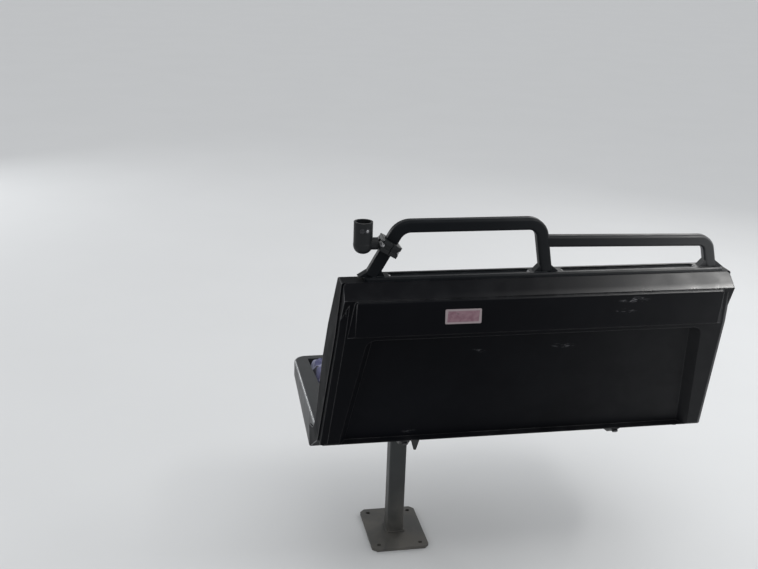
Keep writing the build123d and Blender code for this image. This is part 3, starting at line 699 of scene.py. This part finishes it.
def stitches(name, lines, pad, up, place, thick):
    """Short thread stitches along the seam, lying on the pad's surface."""
    shape = bmesh.new()
    for a, b in lines:
        count = int((b - a).length / STITCH_PITCH)
        for i in range(count):
            ends = []
            for share in STITCH_SPAN:
                spot = a + (b - a) * ((i + share) / count)
                hit, point, _, _ = pad.ray_cast(place(spot.x, spot.y, thick + 30), -up)
                if hit:
                    ends.append(point + up * 0.0002)
            if len(ends) < 2:
                continue
            side = (ends[1] - ends[0]).normalized().cross(up).normalized()
            rows = []
            for share, swell in ((0.0, 0.35), (0.25, 0.9), (0.5, 1.0), (0.75, 0.9), (1.0, 0.35)):
                centre = ends[0].lerp(ends[1], share) + up * (0.0004 * swell)
                rows.append([shape.verts.new(centre + (side * math.cos(angle) + up * math.sin(angle))
                                             * STITCH_R * swell) for angle in STITCH_ANGLES])
            for first, second in in_pairs(rows, False):
                band(shape, first, second)
            caps(shape, rows)
    made(name, mesh_of(name, shape), thread)


def upholster(name, node, corners, place, thick, slot, seed):
    """A pad: slab, cloth simulation, then its border seam, small creases and stitches."""
    piece = made(name, slab(name, corners, place, thick), finishes[slot])
    origin = place(0, 0, 0)
    axes = [(place(*unit) - origin).normalized() for unit in ((1, 0, 0), (0, 1, 0), (0, 0, 1))]

    def local(point):
        gap = (point - origin) * 1000
        return Vector([gap.dot(axis) for axis in axes])

    apply_modifier(piece, "remesh", "REMESH", mode="VOXEL", voxel_size=PAD_VOXEL)
    inflate(piece, lambda co: local(co).z < PAD_HELD, PAD_PUFF)
    apply_modifier(piece, "smooth", "SUBSURF", levels=1, render_levels=1)
    lines = border_lines(corners, SEAM_INSET)
    for vertex in piece.data.vertices:
        spot = local(vertex.co)
        if spot.z < thick * 0.45:
            continue
        gap = min(segment_gap(spot.to_2d(), a, b) for a, b in lines)
        groove = -sum(depth * math.exp(-(gap / width) ** 2) for depth, width in (SEAM_GROOVE, SEAM_DIP))
        pull = math.exp(-(gap / CREASE_REACH) ** 2)
        creased, swayed = [noise.noise(Vector((spot.x / wide, spot.y / wide, start)))
                           for wide, start in ((CREASE_SIZE, seed), (SWAY_SIZE, seed + 7.0))]
        crease, sway = creased * CREASE_DEPTH * pull, swayed * SWAY_DEPTH
        vertex.co += axes[2] * (groove + crease + sway) / 1000
    shade_smooth(piece.data)
    piece.data.update()
    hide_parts(node)
    stitches(name + "_stitches", lines, piece, axes[2], place, thick)


for side, sign in SIDES:
    seat_corners = [(sign * x, y) for x, y in ((12.5, 183.5), (405.5, 183.5), (427.0, 604.5), (12.5, 604.5))]
    back_corners = [(sign * x, y) for x, y in ((12.0, 15.5), (412.5, 15.5), (386.0, 393.5), (12.0, 393.5))]
    upholster(f"seat_cushion_{side}", f"seat_pad_{side}", seat_corners, seated, SEAT_THICK, "seat_fabric",
              3.0 + sign)
    upholster(f"back_cushion_{side}", f"back_pad_{side}", back_corners, leaning, BACK_THICK, "back_fabric",
              9.0 + sign)

# ---------------------------------------------------------------- fasteners
RAIL_DEPTH, POCKET_FLOOR, ELBOW_X, SET_SCREW_Z = 58.0, 844.0, -391.0, 949.0
FLANGE_SCREWS, MEMBER_BOLTS = (-336.0, -24.0, 46.0, 360.0), (376.0, 486.0)
SCREW_R, SET_SCREW_R, CLAMP_SCREW_R = 0.0062, 0.0030, 0.0052
LARGE, MEDIUM, SMALL = 0.013, 0.010, 0.0085
BESIDE = 60.0  # from here rays are sent to the clamp and the elbow

for number, across in enumerate(FLANGE_SCREWS):
    spot = at(across, RAIL_DEPTH, POCKET_FLOOR)
    socket_screw(f"flange_screw_{number}", spot, (0, 0, 1), SCREW_R, screw_zinc)

# Two set screws in the elbow's socket. Each sits in a black ring that paints the shade of its counterbore,
# and the right one is zinc where the left is black, a painted glint
shade_ring = [(0.0052, -0.0006, 0), (0.0052, 0.0002, 0), (0.0048, 0.0007, 0), (0.0042, 0.0007, 0),
          (0.0038, 0.0002, 0), (0.0003, 0.0002, 0)]
for number, (off, finish) in enumerate(((-5.5, screw_black), (5.5, screw_zinc))):
    spot, out = on_surface("stanchion_elbow", at(ELBOW_X + off, RAIL_DEPTH - BESIDE, SET_SCREW_Z), (0, 1, 0))
    turned(f"set_screw_shade_ring_{number}", shade_ring, spot, out, screw_black)
    socket_screw(f"set_screw_{number}", spot, out, SET_SCREW_R, finish)

# The elbow's foot is round: a thin dome over the steps of its solid
ELBOW_FOOT, DOME_R, DOME_DROP, SQUARENESS, DOME_STEPS = 917.0, 0.0204, 0.0208, 2.3, 14
dome = [(0.0199, -0.003, 0)]
for step in range(DOME_STEPS + 1):
    angle = step / DOME_STEPS * math.radians(89.0)
    wide, deep = [value ** (2 / SQUARENESS) for value in (math.cos(angle), math.sin(angle))]
    dome.append((DOME_R * wide, DOME_DROP * deep, 0))
turned("elbow_foot", dome, at(ELBOW_X, RAIL_DEPTH, ELBOW_FOOT), (0, 0, -1), finishes["fitting_black"],
       steps=48)

# Two bolts through the clamp, their heads on its loose half and their nuts on the elbow's half
clamp_middle, clamp_out = at(-336.9, RAIL_DEPTH, 911.0), Vector((0.874, 0.0, -0.487))
for number, off in enumerate((-21.5, 21.5)):
    bolt, far = clamp_middle + mm(0.0, off, 0.0), clamp_out * (BESIDE / 1000)
    fasten(socket_screw, f"clamp_bolt_{number}", "clamp_cap", bolt + far, -clamp_out, CLAMP_SCREW_R)
    fasten(hex_bolt, f"clamp_nut_{number}", "stanchion_elbow", bolt - far, clamp_out, SMALL)

# Bolts that hold the back on its brackets, the frame's side members, and the leg's head
for side, sign in SIDES:
    below = at(sign * 260.0, 153.0, 340.0)
    fasten(hex_bolt, f"bracket_bolt_{side}", f"back_bracket_{side}", below, (0, 0, 1), LARGE, screw_black)
for side, sign in SIDES:
    for row, depth in enumerate(MEMBER_BOLTS):
        below = at(sign * 390.0, depth, 330.0)
        fasten(hex_bolt, f"member_bolt_{side}_{row}", f"side_member_{side}", below, (0, 0, 1), MEDIUM)
for number, y in enumerate((-11.0, 11.0)):
    for kind, sign in (("bolt", 1), ("nut", -1)):
        beside = mm(sign * 90.0, y, 360.0)
        fasten(hex_bolt, f"head_{kind}_{number}", "leg_head", beside, (-sign, 0, 0), LARGE, screw_black)

# Weld beads where the leg, its gussets and the plates meet
LEG_HALF, FOOT_PLATE_TOP, LEG_TOP, GUSSET_HALF = 22.0, 8.0, 383.0, 2.5
LEG_BEAD, GUSSET_BEAD = 0.0026, 0.0018
GUSSET_EDGE = ((0.6, -76.0), (0.6, -3.0), (52.0, -0.8))
beads = bmesh.new()
half = LEG_HALF * 1.02
for z in (FOOT_PLATE_TOP + 1.2, LEG_TOP - 1.2):
    corners = [mm(x * half, y * half, z) for x, y in ((-1, -1), (1, -1), (1, 1), (-1, 1))]
    weld(beads, corners, LEG_BEAD, closed=True)
for way in (-1, 1):
    for x in (-GUSSET_HALF, GUSSET_HALF):
        path = [mm(x, way * (LEG_HALF + out), LEG_TOP + up) for out, up in GUSSET_EDGE]
        weld(beads, path, GUSSET_BEAD)
made("leg_welds", mesh_of("leg_welds", beads), finishes["leg_paint"])

# ---------------------------------------------------------------- pan corners, seam foam and sticker
# Corner pieces that carry the pan's rim back over the wings. Their feet follow the wing's edge, by depth
WING_EDGE = [(289.8, 397.0), (286.0, 398.0), (281.0, 402.0), (266.0, 407.2), (252.0, 412.2), (237.0, 417.2),
             (225.0, 421.6), (216.5, 426.0)]
RIM_TOP, RIM_R, PAN_HALF, CORNER_INSIDE = 430.0, 7.0, 464.8, 415.4
# The foam in the seam below them: its section, and its two ends
FOAM_SECTION = ((424.0, 344.0), (463.0, 344.0), (463.0, 396.0), (424.0, 396.0))
FOAM_DEPTHS = (287.1, 289.9)


def rim_half(height):
    """Half the pan's width at a height, with its rim's rounding."""
    over = max(0.0, height - RIM_TOP + RIM_R)
    return PAN_HALF - RIM_R + math.sqrt(RIM_R ** 2 - over ** 2)


for side, sign in SIDES:
    rings = []
    for depth, foot in WING_EDGE:
        heights = [foot] + [max(foot, RIM_TOP - RIM_R + RIM_R * math.sin(t * math.pi / 16)) for t in range(9)]
        section = [(CORNER_INSIDE, foot), *((rim_half(z), z) for z in heights), (CORNER_INSIDE, RIM_TOP)]
        ring = [at(sign * across, depth, z) for across, z in section]
        rings.append(ring if sign > 0 else ring[::-1])
    made(f"pan_corner_{side}", rings_mesh(f"pan_corner_{side}", rings), finishes["pan_grey"],
         smooth=False)
    foam = [[at(sign * across, depth, z) for across, z in FOAM_SECTION] for depth in FOAM_DEPTHS]
    made(f"seam_foam_{side}", rings_mesh(f"seam_foam_{side}", foam), finishes["shell_black"], smooth=False)

# Blank sticker on the band, which leans back by a share of its height
STICKER_TOP, STICKER_TOP_DEPTH, BAND_LEAN, STICKER_ROUND = 785.5, 3.2, 0.163, 3.0
STICKER_CORNERS = [(-218.7, 750.0), (-139.2, 749.5), (-141.9, 785.0), (-221.1, STICKER_TOP)]
sticker_middle, band_out = Vector((STICKER_X, STICKER_Z)), Vector((0.0, -0.987, -0.162))
outline, rings = rounded_outline(STICKER_CORNERS, STICKER_ROUND, 6), []
for lift, inset in ((0.0, 0.0), (0.25, 0.0), (0.35, 0.2), (0.36, 3.0)):
    ring = []
    for point in outline:
        gap = sticker_middle - point
        spot = point + gap * (inset / gap.length)
        depth = STICKER_TOP_DEPTH + (STICKER_TOP - spot.y) * BAND_LEAN
        ring.append(at(spot.x, depth, spot.y) + band_out * lift / 1000)
    rings.append(ring)
made("sticker", rings_mesh("sticker", rings), sticker_vinyl, smooth=False)
